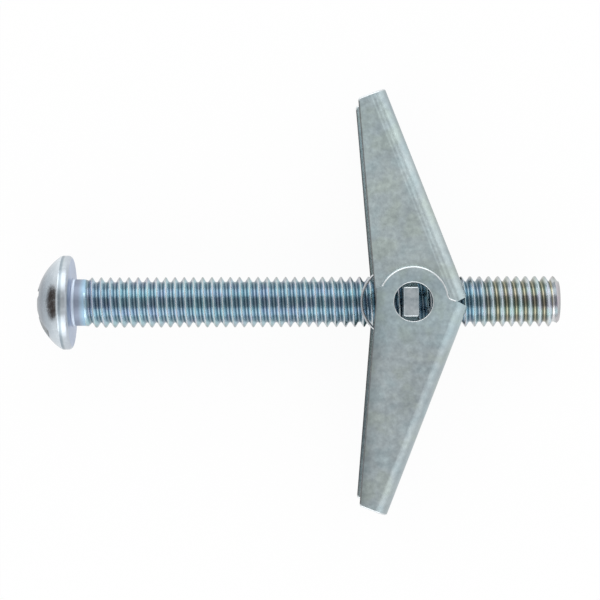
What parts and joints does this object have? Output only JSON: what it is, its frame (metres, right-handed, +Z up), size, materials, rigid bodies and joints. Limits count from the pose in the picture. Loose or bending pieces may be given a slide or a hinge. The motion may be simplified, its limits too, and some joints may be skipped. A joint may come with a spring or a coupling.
{
  "type": "spring toggle bolt",
  "caption": "Round head machine screw with two sprung folding sheet-metal wings on a trunnion nut, for fixing to a hollow wall.",
  "frame": {"origin": "centre of the bearing face under the screw head, on the screw's axis", "axes": "+X along the screw from the head to the tip, +Y across the screw toward one open wing, +Z up as the bolt lies flat, parallel to the wings' pivot"},
  "size_m": [0.0815, 0.066, 0.0148],
  "materials": {
    "screw": "bright zinc plated",
    "nut": "zinc plated",
    "wings": "satin zinc plated",
    "spring": "drawn wire"
  },
  "bodies": {
    "screw": {"screw": "screw"},
    "nut": {"nut": "nut", "spring": "spring"},
    "wing_upper": {"wing_upper": "wings"},
    "wing_lower": {"wing_lower": "wings"}
  },
  "joints": [
    {"name": "nut_travel", "type": "slide", "parent": "screw", "child": "nut", "axis": [1, 0, 0], "range_m": [-0.019, 0.022]},
    {"name": "upper_wing_fold", "type": "hinge", "parent": "nut", "child": "wing_upper", "pos_m": [0.0531, 0, 0], "axis": [0, 0, 1], "range_deg": [0, 72], "stiffness_Nm_per_rad": 0.009, "springref_deg": -45.84, "deforming": ["spring"]},
    {"name": "lower_wing_fold", "type": "hinge", "parent": "nut", "child": "wing_lower", "pos_m": [0.0531, 0, 0], "axis": [0, 0, -1], "range_deg": [0, 72], "stiffness_Nm_per_rad": 0.009, "springref_deg": -45.84, "deforming": ["spring"]}
  ]
}
